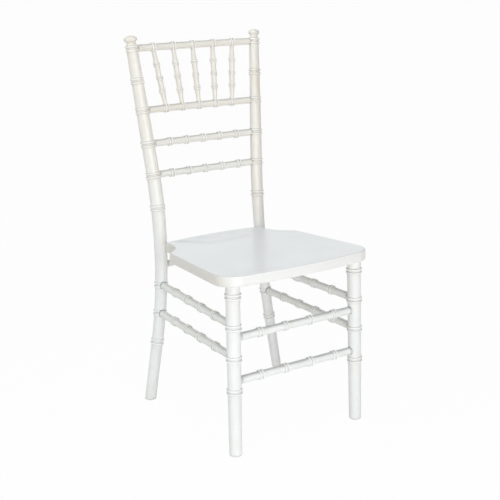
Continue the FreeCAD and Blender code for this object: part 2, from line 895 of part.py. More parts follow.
underside = seat_frame.multiply(raised(-size("seat_thickness")))
leg_body = doc.addObject("PartDesign::Body", "front_leg_turning")
leg_length = (LEG.seat - LEG.foot).Length
to_underside = (underside.Base - LEG.foot).dot(SEAT_UP) / LEG.climb.dot(SEAT_UP)
leg_stem = [
    (None, "-Sizes.glide_thickness"),
    ("Sizes.leg_foot_diameter / 2", "-Sizes.glide_thickness"),
    ("Sizes.leg_knee_diameter / 2", "Sizes.leg_ring_4"),
    ("Sizes.leg_top_diameter / 2", f"{leg_length}"),
    (None, f"{leg_length}"),
]
turn(leg_body, "front_leg_stem", leg_stem)
stations = [f"({to_underside} - Sizes.leg_ring_drop)"] + [f"Sizes.leg_ring_{n}" for n in (2, 3, 4)]
for number, station in enumerate(stations, 1):
    ring_radius = LEG.half_axes(value_of(station) * LEG.climb.z)[0]
    double_ring(leg_body, f"front_leg_ring_{number}", station, f"{ring_radius}", "leg")
leg_body.Placement = LEG.placement(0)
floor_trim = level_block("leg_floor_trim", raised(size("glide_stand")), True)
seat_trim = level_block("leg_seat_trim", underside, False)
leg_trimmed = cut("front_leg_trimmed", leg_body, [floor_trim, seat_trim])
doc.recompute()
leg_rounded = round_lowest_edge("front_leg_rounded", leg_trimmed, size("foot_round"))

leg_top = LEG.foot + LEG.climb * to_underside
root = leg_top - SEAT_UP * size("leg_tenon_diameter")
leg_tenon = rod(
    "front_leg_tenon",
    root,
    SEAT_UP,
    size("leg_tenon_diameter") + size("leg_tenon_length"),
    "Sizes.leg_tenon_diameter / 2",
)
leg_whole = fused("front_leg_whole", [leg_rounded, leg_tenon])
leg_tools = [tool for joint in leg_joints for tool in joint.host_tools()]
leg_tools += glide_recess("front_foot", LEG.foot)
front_leg_right = cut("front_leg_right", leg_whole, leg_tools)
front_leg_left = mirrored("front_leg_left", front_leg_right)


# Seat panel


def seat_panel():
    """A flat panel with a bowed front, rounded front corners and coves that clear the posts."""
    body = doc.addObject("PartDesign::Body", "seat_panel")
    sketch = body.newObject("Sketcher::SketchObject", "seat_outline")
    plane = [f for f in body.Origin.OriginFeatures if f.Role == "XY_Plane"][0]
    sketch.AttachmentSupport = [(plane, "")]
    sketch.MapMode = "FlatFace"
    post = seat_frame.inverse().multVec(POST_AT_SEAT)
    right = [
        ("Sizes.seat_front_half", "Sizes.seat_front_bow - Sizes.seat_front_reach"),
        ("Sizes.seat_shoulder_half", "Sizes.seat_shoulder_reach"),
        (f"{post.x} - Sizes.seat_ear_in", f"{post.y} - Sizes.seat_ear_ahead"),
        (f"{post.x} - Sizes.seat_back_in", f"{post.y} - Sizes.seat_back_ahead"),
    ]
    corners = right + [(f"-({x})", y) for x, y in reversed(right)]
    points = [Vector(value_of(x), value_of(y), 0) for x, y in corners]
    bow = "(({0})^2 + Sizes.seat_{1}_bow^2) / (2 * Sizes.seat_{1}_bow)"
    arcs = {
        1: ("Sizes.seat_cove_radius", -1),
        3: (bow.format(right[3][0], "back"), 1),
        5: ("Sizes.seat_cove_radius", -1),
        7: (bow.format(right[0][0], "front"), 1),
    }
    count = len(points)
    for index, start in enumerate(points):
        end = points[(index + 1) % count]
        if index in arcs:
            radius, side = value_of(arcs[index][0]), arcs[index][1]
            chord = end - start
            sagitta = radius - math.sqrt(radius**2 - (chord.Length / 2) ** 2)
            outwards = Vector(chord.y, -chord.x, 0).normalize()
            middle = (start + end) * 0.5 + outwards * (sagitta * side)
            sketch.addGeometry(Part.Arc(start, middle, end), False)
        else:
            sketch.addGeometry(Part.LineSegment(start, end), False)
    ends = []
    for index, start in enumerate(points):
        near = 1 if (sketch.getPoint(index, 1) - start).Length < 1e-6 else 2
        ends.append((near, 3 - near))
    for index, (x, y) in enumerate(corners):
        previous = (index - 1) % count
        first, last = ends[index][0], ends[previous][1]
        sketch.addConstraint(Sketcher.Constraint("Coincident", previous, last, index, first))
        pin_down(sketch, "DistanceX", (index, first), points[index].x, x)
        pin_down(sketch, "DistanceY", (index, first), points[index].y, y)
        if index in arcs:
            radius = arcs[index][0]
            number = sketch.addConstraint(Sketcher.Constraint("Radius", index, value_of(radius)))
            sketch.setExpression(f"Constraints[{number}]", radius)
    pad = body.newObject("PartDesign::Pad", "seat_thickness_pad")
    pad.Profile = sketch
    pad.Reversed = True
    pad.setExpression("Length", "Sizes.seat_thickness")
    doc.recompute()
    feature = pad
    for name, point in (("corner", points[0]), ("shoulder", points[1])):
        edges = upright_at(feature, point)
        feature = round_edges(body, feature, f"seat_{name}s", edges, f"seat_{name}_radius")
    edges = enumerate(feature.Shape.Edges, 1)
    rim = [f"Edge{number}" for number, edge in edges if edge.BoundBox.ZLength < 0.001]
    round_edges(body, feature, "seat_rim", rim, "seat_edge_round")
    body.Placement = seat_frame
    return body


def upright_at(feature, point):
    """The upright edges on both sides of the seat that stand at a corner of its outline."""
    found = []
    for number, edge in enumerate(feature.Shape.Edges, 1):
        place = edge.CenterOfMass
        apart = math.hypot(abs(place.x) - abs(point.x), place.y - point.y)
        if edge.BoundBox.ZLength > 1 and apart < 1:
            found.append(f"Edge{number}")
    return found


def round_edges(body, base, name, edges, radius):
    fillet = body.newObject("PartDesign::Fillet", name)
    fillet.Base = (base, edges)
    fillet.setExpression("Radius", f"Sizes.{radius}")
    doc.recompute()
    return fillet


def cope_tool():
    """A stretch of the post, slightly enlarged, that trims the corner of the seat."""
    tool = doc.addObject("Part::Feature", "seat_cope_right")
    sections = []
    for step in (-1, 0, 1):
        height = mid_seat + step * size("seat_thickness") * 1.5
        sections.append(oval(height, size("cope_gap")))
    tool.Shape = Part.makeLoft(sections, True, False)
    return tool


cope_right = cope_tool()
leg_mortise = rod(
    "seat_leg_mortise_right",
    leg_top - SEAT_UP * size("leg_tenon_diameter"),
    SEAT_UP,
    size("leg_tenon_diameter") + size("leg_tenon_length") + size("mortise_air"),
    "Sizes.leg_tenon_diameter / 2 + Sizes.fit_gap",
)
seat_screw_hole = rod(
    "seat_screw_hole_right",
    plug_bottom,
    screw_way,
    size("screw_length") + size("mortise_air"),
    "Sizes.screw_diameter / 2 + Sizes.fit_gap",
)
cope_left = mirrored("seat_cope_left", cope_right)
seat_coped = cut("seat_coped", seat_panel(), [cope_right, cope_left])
seat_drills = [leg_mortise, seat_screw_hole]
seat_drills += [mirrored(tool.Name.replace("right", "left"), tool) for tool in seat_drills]
seat = cut("seat", seat_coped, seat_drills)


# Rails, stretchers and spindles

rails = []
for rail, (_, spacing, bow) in BACK_RAILS.items():
    joint = rail_joints[rail]
    if bow:
        rails.append(bowed_rail(rail, joint))
    else:
        rails.append(cross_bar(rail, joint, ring_spacing=spacing, ring_count=len(SPINDLES)))
rear_seat_rail = cross_bar("rear_seat_rail", rear_rail_joint)
front_stretchers = [
    cross_bar(name, joint, ring_spacing="front_ring_spacing", ring_count=4)
    for name, joint in front_joints.items()
]
side_stretchers = []
for name, (rear, front) in side_joints.items():
    side_name = name.replace("side_stretcher", "side_stretcher_right")
    turning = tenoned_bar(
        side_name, rear.shoulder, front.shoulder, "side_stretcher_diameter", "side_ring_spacing", 4
    )
    right_one = cut(side_name, turning, [rear.pin_hole(), front.pin_hole()])
    side_stretchers += [right_one, mirrored(side_name.replace("right", "left"), right_one)]
spindle_bodies = [spindle.build() for spindle in spindles]


# Pins, screws, plugs and glides, each kind as one group

pins_right = compound("joint_pins_right", [joint.pin() for joint in post_joints + leg_joints])
glides_right = [doc.getObject("glide_back_right"), doc.getObject("glide_front_right")]
groups = [
    compound("joint_pins", [pins_right, mirrored("joint_pins_left", pins_right)]),
    compound("seat_screws", [seat_screw, mirrored("seat_screw_left", seat_screw)]),
    compound("screw_plugs", [screw_plug, mirrored("screw_plug_left", screw_plug)]),
    compound(
        "foot_glides",
        glides_right + [mirrored(item.Name.replace("right", "left"), item) for item in glides_right],
    ),
]

doc.recompute()


# Check every object, then write each piece to its own file

for item in doc.Objects:
    if "Invalid" in item.State or "Error" in item.State:
        raise RuntimeError(f"{item.Name} failed: {item.State}")

pieces = [back_post_left, back_post_right, front_leg_left, front_leg_right, seat, rear_seat_rail]
pieces += rails + front_stretchers + side_stretchers + spindle_bodies + groups
os.makedirs("parts", exist_ok=True)
for piece in pieces:
    if piece.Shape.isNull() or not piece.Shape.isValid():
        raise RuntimeError(f"{piece.Label} has no valid shape")
for piece in pieces:
    piece.Shape.exportStep(f"parts/{piece.Label}.step")
    print(piece.Label, len(piece.Shape.Solids), round(piece.Shape.Volume))
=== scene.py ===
import math
import random

import bmesh
import bpy
from mathutils import Matrix, Vector


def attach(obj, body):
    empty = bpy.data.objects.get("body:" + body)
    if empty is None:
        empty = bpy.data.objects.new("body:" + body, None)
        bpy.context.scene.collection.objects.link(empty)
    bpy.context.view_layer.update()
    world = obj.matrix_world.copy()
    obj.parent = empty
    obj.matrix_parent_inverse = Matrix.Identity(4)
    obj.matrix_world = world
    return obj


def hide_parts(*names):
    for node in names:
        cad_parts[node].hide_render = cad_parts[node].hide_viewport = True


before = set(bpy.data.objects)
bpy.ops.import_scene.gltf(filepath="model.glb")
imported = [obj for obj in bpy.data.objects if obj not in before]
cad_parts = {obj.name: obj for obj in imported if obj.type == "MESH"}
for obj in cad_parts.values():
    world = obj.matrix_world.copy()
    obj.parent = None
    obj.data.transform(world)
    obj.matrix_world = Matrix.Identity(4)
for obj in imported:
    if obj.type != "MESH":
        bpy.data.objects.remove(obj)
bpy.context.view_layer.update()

# A lacquered, bamboo-turned chair. Lengths in this script are millimetres in the CAD's frame and
# become metres when a mesh is made. The floor, the lamps and the shaders are in metres.

MM = 0.001
UP = Vector((0, 0, 1))
BACKWARD = Vector((0, 1, 0))
SIDES = {-1: "left", 1: "right"}


def clamp(value):
    return max(0.0, min(1.0, value))


def smooth(share):
    """A share of 0 to 1 that starts and ends level."""
    return share * share * (3 - 2 * share)


# Centre lines of the posts, legs and bars


class Post:
    """A bent oval post: a straight foot, a long bend and a straight back."""

    FOOT = Vector((199.4, 149.3, 0))
    BEND = Vector((137.9, 153.4, 373.9))
    TOP = Vector((180, 238.6, 920))
    BEND_RADIUS = 1591
    # Height, width and depth of the oval, and how gently one section passes into the next
    SECTIONS = (
        (-20, 28.7, 24.4),
        (0, 28.7, 24.4),
        (150, 29.2, 25.8),
        (300, 31, 27.2),
        (430, 33.4, 28.5),
        (540, 34.8, 29.8),
        (680, 32.2, 28.6),
        (800, 30, 25.4),
        (897, 28, 23.6),
        (930, 28, 23.6),
    )
    EASING = 0.35
    # Halvings of the bend's angle, in the search for the point at a height
    HALVINGS = 40

    def __init__(self, side):
        self.side = side
        self.joints = []
        self.climb = (self.BEND - self.FOOT).normalized()
        self.rise = (self.TOP - self.BEND).normalized()
        self.bend = self.climb.angle(self.rise)
        run = self.BEND_RADIUS * math.tan(self.bend / 2)
        self.start = self.BEND - self.climb * run
        self.end = self.BEND + self.rise * run
        self.across = self.climb.cross(self.rise).normalized()
        self.spoke = self.climb.cross(self.across).normalized()
        self.centre = self.start - self.spoke * self.BEND_RADIUS

    def mirror(self, vector):
        return Vector((vector.x * self.side, vector.y, vector.z))

    def at(self, height):
        """Centre, wide axis, deep axis and direction of the post at a height."""
        if height <= self.start.z:
            point = self.FOOT + self.climb * (height / self.climb.z)
            way = self.climb
        elif height >= self.end.z:
            point = self.end + self.rise * ((height - self.end.z) / self.rise.z)
            way = self.rise
        else:
            low, high = 0.0, self.bend
            for _ in range(self.HALVINGS):
                angle = (low + high) / 2
                offset = self.spoke * math.cos(angle) + self.climb * math.sin(angle)
                point = self.centre + offset * self.BEND_RADIUS
                low, high = (angle, high) if point.z < height else (low, angle)
            way = self.climb * math.cos(angle) - self.spoke * math.sin(angle)
        wide = self.across.cross(way).normalized()
        return tuple(self.mirror(v) for v in (point, wide, self.across, way))

    def half_axes(self, height):
        """Half width and half depth of the oval, eased between the measured sections."""
        for low, high in zip(self.SECTIONS, self.SECTIONS[1:]):
            if height <= high[0] or high is self.SECTIONS[-1]:
                share = clamp((height - low[0]) / (high[0] - low[0]))
                share += self.EASING * (smooth(share) - share)
                return tuple((low[i] + (high[i] - low[i]) * share) / 2 for i in (1, 2))


class Leg:
    """A straight round front leg, thicker towards the seat."""

    FOOT = Vector((176.7, -229.6, 0))
    SEAT = Vector((171.8, -210.6, 436.77))
    KNEE = 158.5
    # Radius at the foot and at the knee, and what the leg gains above each
    FOOT_RADIUS, FOOT_GAIN = 15.1, 0.8
    KNEE_RADIUS, KNEE_GAIN = 15.9, 0.7

    def __init__(self, side):
        self.joints = []
        mirror = Vector((side, 1, 1))
        self.foot = self.FOOT * mirror
        self.way = ((self.SEAT - self.FOOT) * mirror).normalized()
        self.wide = Vector((1, 0, 0)).cross(self.way).cross(self.way).normalized()
        self.deep = self.way.cross(self.wide)

    def at(self, height):
        return self.foot + self.way * (height / self.way.z), self.wide, self.deep, self.way

    def half_axes(self, height):
        above = height - self.KNEE
        if above < 0:
            radius = self.FOOT_RADIUS + self.FOOT_GAIN * height / self.KNEE
        else:
            radius = self.KNEE_RADIUS + self.KNEE_GAIN * above / (self.SEAT.z - self.KNEE)
        return radius, radius


class Bar:
    """A bar between two points, straight or bowed towards +Y, measured from its middle."""

    def __init__(self, start, end, bow=0.0):
        self.middle = (start + end) / 2
        self.half = (end - start).length / 2
        self.way = (end - start).normalized()
        self.deep = BACKWARD if bow else self.way.cross(UP).normalized()
        self.bow = bow
        self.radius = (self.half**2 + bow**2) / (2 * bow) if bow else 0

    def at(self, distance):
        if not self.bow:
            centre, way, deep = self.middle + self.way * distance, self.way, self.deep
        else:
            angle = distance / self.radius
            hub = self.middle + self.deep * (self.bow - self.radius)
            deep = self.deep * math.cos(angle) + self.way * math.sin(angle)
            way = self.way * math.cos(angle) - self.deep * math.sin(angle)
            centre = hub + deep * self.radius
        return centre, deep, way.cross(deep).normalized(), way


# Turned profiles

# Distance from a bead's crest, and height of its softly filled profile there, both in radii
BEAD = (
    (0, 1), (0.25, 0.97), (0.5, 0.87), (0.7, 0.71), (0.85, 0.53), (0.95, 0.31), (1.01, 0.15),
    (1.1, 0.05), (1.22, 0), (1.5, 0),
)

# Diameter and distance of a ring's two beads, height and length of the swelling beside them
RAIL_BEADS = (4.6, 7.6, 0.25, 7)
STRETCHER_BEADS = (4.8, 8.0, 0.25, 7)
SPINDLE_BEADS = (4.0, 5.2, 0.5, 5)
POST_BEADS = (5.0, 9.2, 0.2, 8)
LEG_BEADS = (5.3, 8.9, 0.15, 8)


def bead_height(share):
    share = abs(share)
    for (near, high), (far, low) in zip(BEAD, BEAD[1:]):
        if share <= far:
            return high + (low - high) * (share - near) / (far - near)
    return 0.0


class Turning:
    """Double beads and gentle swellings along a turned piece. Stations are the rings' middles, and
    wobble is how far they may be off. A bar also gets its half length, for the dirt and painted
    shade at its ends."""

    SIZE_SPREAD = (0.94, 1.06)
    PITCH_SPREAD = (0.97, 1.03)
    # The swelling falls off from this far beyond a bead's crest
    SWELL_START = 1
    # How far dirt and painted shade reach in from a bar's end, and the length over which they fade
    END_DIRT, END_FADE = 8.5, 4
    # Place and half width of the dirt and painted shade beside a bead and half width of the wear
    # and painted highlight on it, in radii
    GROOVE, GROOVE_WIDTH, CREST_WIDTH = 1.02, 0.4, 0.85
    # Samples nearer to each other than this are left out
    CLOSEST = 0.12

    def __init__(self, stations, bead, pitch, swell, reach, seed, wobble=0.0, half=0.0):
        dice = random.Random(seed)
        self.swell, self.reach, self.pitch, self.half = swell, reach, pitch, half
        self.stations = [station + dice.uniform(-wobble, wobble) for station in stations]
        self.beads = []
        for station in self.stations:
            for way in (-0.5, 0.5):
                size = bead / 2 * dice.uniform(*self.SIZE_SPREAD)
                place = station + way * pitch * dice.uniform(*self.PITCH_SPREAD)
                self.beads.append((place, size))

    def extra(self, distance):
        """How far the surface stands out beyond the plain stem."""
        rise = sum(size * bead_height((distance - place) / size) for place, size in self.beads)
        for station in self.stations:
            beyond = abs(distance - station) - self.pitch / 2 - self.SWELL_START
            if beyond < self.reach:
                rise += self.swell * smooth(1 - max(0.0, beyond) / self.reach)
        return rise

    def finish(self, distance):
        """Shares of 0 to 1 of dirt and painted shade, in the grooves beside the beads and at a
        bar's ends, and of wear with a painted highlight, on the crests."""
        dirt_and_shade = wear_and_highlight = 0.0
        # At a bar's ends: dirt and a painted shadow in the socket's gap
        if self.half:
            dirt_and_shade = min(1.0, (self.END_DIRT - self.half + abs(distance)) / self.END_FADE)
        for place, size in self.beads:
            off = abs(distance - place) / size
            # Beside each bead: dirt and painted shade in the groove; on its crest: wear and a
            # painted highlight
            dirt_and_shade = max(dirt_and_shade, 1 - abs(off - self.GROOVE) / self.GROOVE_WIDTH)
            wear_and_highlight = max(wear_and_highlight, 1 - off / self.CREST_WIDTH)
        return max(0.0, dirt_and_shade), max(0.0, wear_and_highlight)

    def places(self, low, high, step):
        """Distances at which the surface is sampled: close together over the beads."""
        marks = {low, high}
        if self.half:
            for inset in (self.END_DIRT - self.END_FADE, self.END_DIRT):
                marks |= {low + inset, high - inset}
        for place, size in self.beads:
            for share, _ in BEAD:
                marks |= {place - share * size, place + share * size}
        marks = sorted(mark for mark in marks if low <= mark <= high)
        filled = [marks[0]]
        for mark in marks[1:]:
            gap = mark - filled[-1]
            if gap < self.CLOSEST:
                continue
            parts = max(1, math.ceil(gap / step))
            start = filled[-1]
            filled += [start + gap * part / parts for part in range(1, parts + 1)]
        return filled


# Mesh makers

SHARP = math.radians(38)


def add_object(name, mesh):
    piece = bpy.data.objects.new(name, mesh)
    bpy.context.scene.collection.objects.link(piece)
    return piece


def ring(centre, wide, deep, half_width, half_depth, sides):
    return [
        centre
        + wide * (half_width * math.cos(math.tau * step / sides))
        + deep * (half_depth * math.sin(math.tau * step / sides))
        for step in range(sides)
    ]


def tube(name, rings, turning=None, lengths=()):
    """A closed tube through rings of points. Where it is turned, the lengths say where the rings
    lie along the piece, and its UV layer holds how much dirt and painted shade, and wear and
    painted highlight, it has there."""
    sides = len(rings[0])
    made = bmesh.new()
    finish = made.loops.layers.uv.new("finish")
    marks = [turning.finish(length) for length in lengths] or [(0.0, 0.0)] * len(rings)
    rows = [[made.verts.new(point * MM) for point in points] for points in rings]
    for number, (low, high) in enumerate(zip(rows, rows[1:])):
        for side in range(sides):
            after = (side + 1) % sides
            face = made.faces.new((low[side], low[after], high[after], high[side]))
            face.smooth = True
            for loop, along in zip(face.loops, (number, number, number + 1, number + 1)):
                loop[finish].uv = marks[along]
    for row in (rows[0], rows[-1]):
        middle = made.verts.new(sum((v.co for v in row), Vector()) / sides)
        for side in range(sides):
            made.faces.new((row[side], row[(side + 1) % sides], middle)).smooth = True
    bmesh.ops.recalc_face_normals(made, faces=made.faces)
    mesh = bpy.data.meshes.new(name)
    made.to_mesh(mesh)
    made.free()
    mesh.set_sharp_from_angle(angle=SHARP)
    return add_object(name, mesh)


def slid(points, way, base, normal, share=1.0):
    """Points moved along way towards the plane through base, by a share of the distance."""
    return [p + way * ((base - p).dot(normal) / way.dot(normal) * share) for p in points]


def cutter(start, way, steps, sides=32):
    """A closed stepped rod, used as a cutter. Steps are pairs of distance and radius."""
    wide = way.orthogonal().normalized()
    deep = way.cross(wide)
    rings = [
        ring(start + way * distance, wide, deep, radius, radius, sides)
        for distance, radius in steps
    ]
    return tube("cutter", rings)


def carve(piece, shapes):
    """Cuts closed shapes out of a piece and leaves a plain mesh."""
    joined = bmesh.new()
    for shape in shapes:
        joined.from_mesh(shape.data)
        bpy.data.objects.remove(shape)
    mesh = bpy.data.meshes.new("cutters")
    joined.to_mesh(mesh)
    joined.free()
    tool = add_object("cutters", mesh)
    cut = piece.modifiers.new("joints", "BOOLEAN")
    cut.operation = "DIFFERENCE"
    cut.solver = "EXACT"
    cut.object = tool
    bpy.context.view_layer.update()
    seen = piece.evaluated_get(bpy.context.evaluated_depsgraph_get())
    fresh = bpy.data.meshes.new_from_object(seen)
    piece.modifiers.clear()
    piece.data = fresh
    bpy.data.objects.remove(tool)
    fresh.set_sharp_from_angle(angle=SHARP)
    return piece


# Joints

# Room round a tenon in its mortise and round a bar in its socket, and the socket's depth
FIT_GAP = 0.3
SOCKET_GAP = 0.8
SOCKET = 3.0
TENON_RADIUS = 6.0
TENON_LENGTH = 13.0
PIN_RADIUS = 0.95
# Wood left between a pin's hole and the mortise
PIN_WALL = 0.6
# How far a cutter goes beyond what it cuts: past a tenon's tip, outside a socket and at a pin
PAST_TENON, PAST_SOCKET, PAST_PIN = 1, 16, 5
# Length of the step from one radius to the next in a cutter
STEP = 0.02
BAR_SIDES = 40
PIN_SIDES = 12


def to_surface(host, height, way, offset=Vector()):
    """Distance along way from the host's centre line, moved by offset, to its surface."""
    _, wide, deep, _ = host.at(height)
    half_width, half_depth = host.half_axes(height)
    x, y = wide.dot(way) / half_width, deep.dot(way) / half_depth
    a, b = wide.dot(offset) / half_width, deep.dot(offset) / half_depth
    square, cross, rest = x * x + y * y, a * x + b * y, a * a + b * b - 1
    return (math.sqrt(cross * cross - square * rest) - cross) / square


class Joint:
    """The end of a bar in a post or leg. Out points from the host along the bar."""

    def __init__(self, host, height, out, radius, pin_towards):
        centre, _, _, axis = host.at(height)
        self.out, self.radius = out, radius
        self.shoulder = centre + out * (to_surface(host, height, out) - SOCKET)
        self.pin_way = axis.cross(out).normalized()
        if self.pin_way.dot(pin_towards) < 0:
            self.pin_way.negate()
        self.middle = self.shoulder - out * (TENON_LENGTH / 2)
        self.cover = to_surface(host, height, self.pin_way, self.middle - centre)

    def cutters(self):
        narrow, wide = TENON_RADIUS + FIT_GAP, self.radius + SOCKET_GAP
        socket = (
            (-TENON_LENGTH - PAST_TENON, narrow), (0, narrow), (STEP, wide), (PAST_SOCKET, wide)
        )
        hole = self.middle + self.pin_way * (self.cover + PAST_PIN)
        drill = ((0, PIN_RADIUS), (self.cover + PAST_PIN - narrow - PIN_WALL, PIN_RADIUS))
        return [
            cutter(self.shoulder, self.out, socket, BAR_SIDES),
            cutter(hole, -self.pin_way, drill, PIN_SIDES),
        ]


POSTS = {side: Post(side) for side in SIDES}
LEGS = {side: Leg(side) for side in SIDES}
# Heights of the rings on a post, and their places along a leg, from the top down
POST_RINGS = (891.9, 814.6, 742.4, 660.8, 583.7, 501.2, 304.7, 231.8, 155.3)
LEG_RINGS = (385.3, 312.2, 237.5, 158.5)

SEAT_PITCH = math.radians(3.55)
SEAT_HEIGHT, SEAT_THICK = 423.7, 25.0
SEAT = Matrix.Translation((0, 0, SEAT_HEIGHT)) @ Matrix.Rotation(-SEAT_PITCH, 4, "X")
SEAT_UP = SEAT.to_3x3() @ UP


def join(host, height, out, radius, pin_towards):
    """Notes a joint in a post or leg and gives the place of the bar's shoulder."""
    joint = Joint(host, height, out, radius, pin_towards)
    host.joints.append(joint)
    return joint.shoulder


def level_bar(hosts, height, radius):
    """A straight bar between the two posts or the two legs."""
    left, right = (
        join(hosts[side], height, Vector((-side, 0, 0)), radius, BACKWARD) for side in SIDES
    )
    return Bar(left, right)


# Bars: stems with beads, drilled ends and tenons

BAR_STEP = 9
TENON_TIP, TENON_CHAMFER = 5.4, 0.8
# How much a bar's edge is rounded off, across it and along it
EDGE, EDGE_LENGTH = 0.6, 0.5
# Between a tenon and the bar's end face
FACE_GAP = 0.01


def bar_mesh(name, bar, radius, turning):
    """A turned bar between its shoulders, with a tenon at each end."""
    rings, lengths = [], []

    def add(distance, size):
        centre, wide, deep, _ = bar.at(distance)
        rings.append(ring(centre, wide, deep, size, size, BAR_SIDES))
        lengths.append(distance)

    tip = bar.half + TENON_LENGTH
    end = (
        (tip, TENON_TIP),
        (tip - TENON_CHAMFER, TENON_RADIUS),
        (bar.half + FACE_GAP, TENON_RADIUS),
        (bar.half, radius - EDGE),
    )
    for distance, size in end:
        add(-distance, size)
    for distance in turning.places(-bar.half, bar.half, BAR_STEP):
        at_end = abs(distance) >= bar.half
        inside = distance * (1 - EDGE_LENGTH / bar.half) if at_end else distance
        add(inside, radius + turning.extra(distance))
    for distance, size in reversed(end):
        add(distance, size)
    return tube(name, rings, turning, lengths)


pieces = {}

RAIL_RADIUS = 8.6
RAIL_BOW = 8.0
BACK_RAILS = {
    # Height, bow and the places of the rings along the rail
    "top_rail": (891.9, RAIL_BOW, (-118, -60.5, -3.5, 55, 112.5)),
    "spindle_rail": (742.4, RAIL_BOW, (-96.8, -48.3, 0.4, 48.5, 98.2)),
    "ladder_rail_upper": (660.8, 0, (-98.8, -50.5, -1.8, 46.5, 97.6)),
    "ladder_rail_lower": (583.7, 0, (-100.8, -52.3, -3.6, 46.2, 97.5)),
}
rail_bars = {}
for name, (height, bow, stations) in BACK_RAILS.items():
    left, right = (POSTS[side].at(height)[0] for side in SIDES)
    bar = Bar(Vector((left.x, left.y, height)), Vector((right.x, right.y, height)), bow)
    left, right = (
        join(POSTS[side], height, bar.at(bar.half * side)[3] * -side, RAIL_RADIUS, BACKWARD)
        for side in SIDES
    )
    if bow:
        # The rail's own arc, between the shoulders
        bar.half = bar.radius * math.asin(right.x / bar.radius)
    else:
        bar = Bar(left, right)
    rail_bars[name] = bar
    turning = Turning(stations, *RAIL_BEADS, name, 0.3, bar.half)
    pieces[name] = bar_mesh(name + "_wood", bar, RAIL_RADIUS, turning)

REAR_RAIL_HEIGHT, REAR_RAIL_RADIUS = 356.0, 8.25
bar = level_bar(POSTS, REAR_RAIL_HEIGHT, REAR_RAIL_RADIUS)
turning = Turning((), *RAIL_BEADS, "rear_seat_rail", half=bar.half)
pieces["rear_seat_rail"] = bar_mesh("rear_seat_rail_wood", bar, REAR_RAIL_RADIUS, turning)

# The four rings of a stretcher, in spacings from its middle
STRETCHER_RINGS = (-1.5, -0.5, 0.5, 1.5)
FRONT_RADIUS, FRONT_SPACING, FRONT_SHIFT = 9.35, 70.8, 3
for name, height in (("front_stretcher_upper", 286.0), ("front_stretcher_lower", 182.0)):
    bar = level_bar(LEGS, height, FRONT_RADIUS)
    stations = [FRONT_SHIFT + FRONT_SPACING * step for step in STRETCHER_RINGS]
    turning = Turning(stations, *STRETCHER_BEADS, name, 0.5, bar.half)
    pieces[name] = bar_mesh(name + "_wood", bar, FRONT_RADIUS, turning)

SIDE_RADIUS, SIDE_SPACING = 9.15, 68
for level, back_height, front_height in (("upper", 304.7, 313.8), ("lower", 231.8, 238.9)):
    for side, word in SIDES.items():
        back = POSTS[side].at(back_height)[0]
        front = LEGS[side].at(front_height)[0]
        way = (front - back).normalized()
        outward = Vector((side, 0, 0))
        rear = join(POSTS[side], back_height, way, SIDE_RADIUS, outward)
        fore = join(LEGS[side], front_height, -way, SIDE_RADIUS, outward)
        bar = Bar(rear, fore)
        name = f"side_stretcher_{word}_{level}"
        stations = [SIDE_SPACING * step for step in STRETCHER_RINGS]
        turning = Turning(stations, *STRETCHER_BEADS, name, 0.8, bar.half)
        pieces[name] = bar_mesh(name + "_wood", bar, SIDE_RADIUS, turning)


# Spindles and their holes in the rails

SPINDLES = 5
SPINDLE_SIDES = 32
SPINDLE_STEP = 5
SPINDLE_RINGS = (-33, 0, 33)
# Radius at a spindle's ends, and what its middle gains
SPINDLE_TIP, SPINDLE_GAIN = 5.2, 1.5
# Length of the thin ends, and half the length of the thick middle
SPINDLE_END, SPINDLE_MIDDLE = 11, 34
# Depth of a spindle's end under a rail's surface, and the hole's reach outside it
SPINDLE_DEPTH = 5.5
HOLE_REACH = 17


def spindle_mesh(name, bar, seed):
    turning = Turning(SPINDLE_RINGS, *SPINDLE_BEADS, seed, 0.8)
    taper = bar.half - SPINDLE_END - SPINDLE_MIDDLE
    rings, lengths = [], []
    for distance in turning.places(-bar.half, bar.half, SPINDLE_STEP):
        share = clamp((bar.half - SPINDLE_END - abs(distance)) / taper)
        size = SPINDLE_TIP + SPINDLE_GAIN * smooth(share) + turning.extra(distance)
        centre, wide, deep, _ = bar.at(distance)
        rings.append(ring(centre, wide, deep, size, size, SPINDLE_SIDES))
        lengths.append(distance)
    return tube(name, rings, turning, lengths)


inset = RAIL_RADIUS - SPINDLE_DEPTH
hole = ((-PAST_TENON, SPINDLE_TIP + FIT_GAP), (HOLE_REACH, SPINDLE_TIP + FIT_GAP))
rail_holes = {"top_rail": [], "spindle_rail": []}
for number in range(SPINDLES):
    top, bottom = (rail_bars[rail].at(BACK_RAILS[rail][2][number])[0] for rail in rail_holes)
    way = (top - bottom).normalized()
    low, high = bottom + way * inset, top - way * inset
    rail_holes["spindle_rail"].append(cutter(low, way, hole))
    rail_holes["top_rail"].append(cutter(high, -way, hole))
    name = f"spindle_{number + 1}"
    pieces[name] = spindle_mesh(name + "_wood", Bar(low, high), name)
for rail, holes in rail_holes.items():
    carve(pieces[rail], holes)


# Back posts and front legs

HOST_SIDES = 56
POST_STEP, LEG_STEP = 11, 12
# Inset and height of the rings that round a foot's lower edge
FOOT_EDGE = ((5, 1), (2.5, 1), (1.3, 1.2), (0.5, 1.7), (0.12, 2.5), (0, 3.5))
FOOT_TOP = 3.5
# Height from which a stem is sampled, and the length over which its rings turn from level with
# the floor, or with the seat, to square with the stem
STEM_START = 6
FLOOR_TURN, SEAT_TURN = 24, 10
# How far a leg reaches into the seat's underside
LEG_OVERLAP = 0.05
# Steps of the cutters for a glide's recess and for the plug over a screw
GLIDE_RECESS = ((-1, 9.15), (3.15, 9.15))
PLUG_BORE = ((-5, 5.12), (6.2, 5.12))
# The screw's turn inwards and its distance behind the seat's middle
SCREW_INWARD = math.radians(33)
SCREW_PLACE = 165
# From the top ring's middle to its upper bead, and on to the finial
TOP_BEAD, NECK = 4.65, 3.8
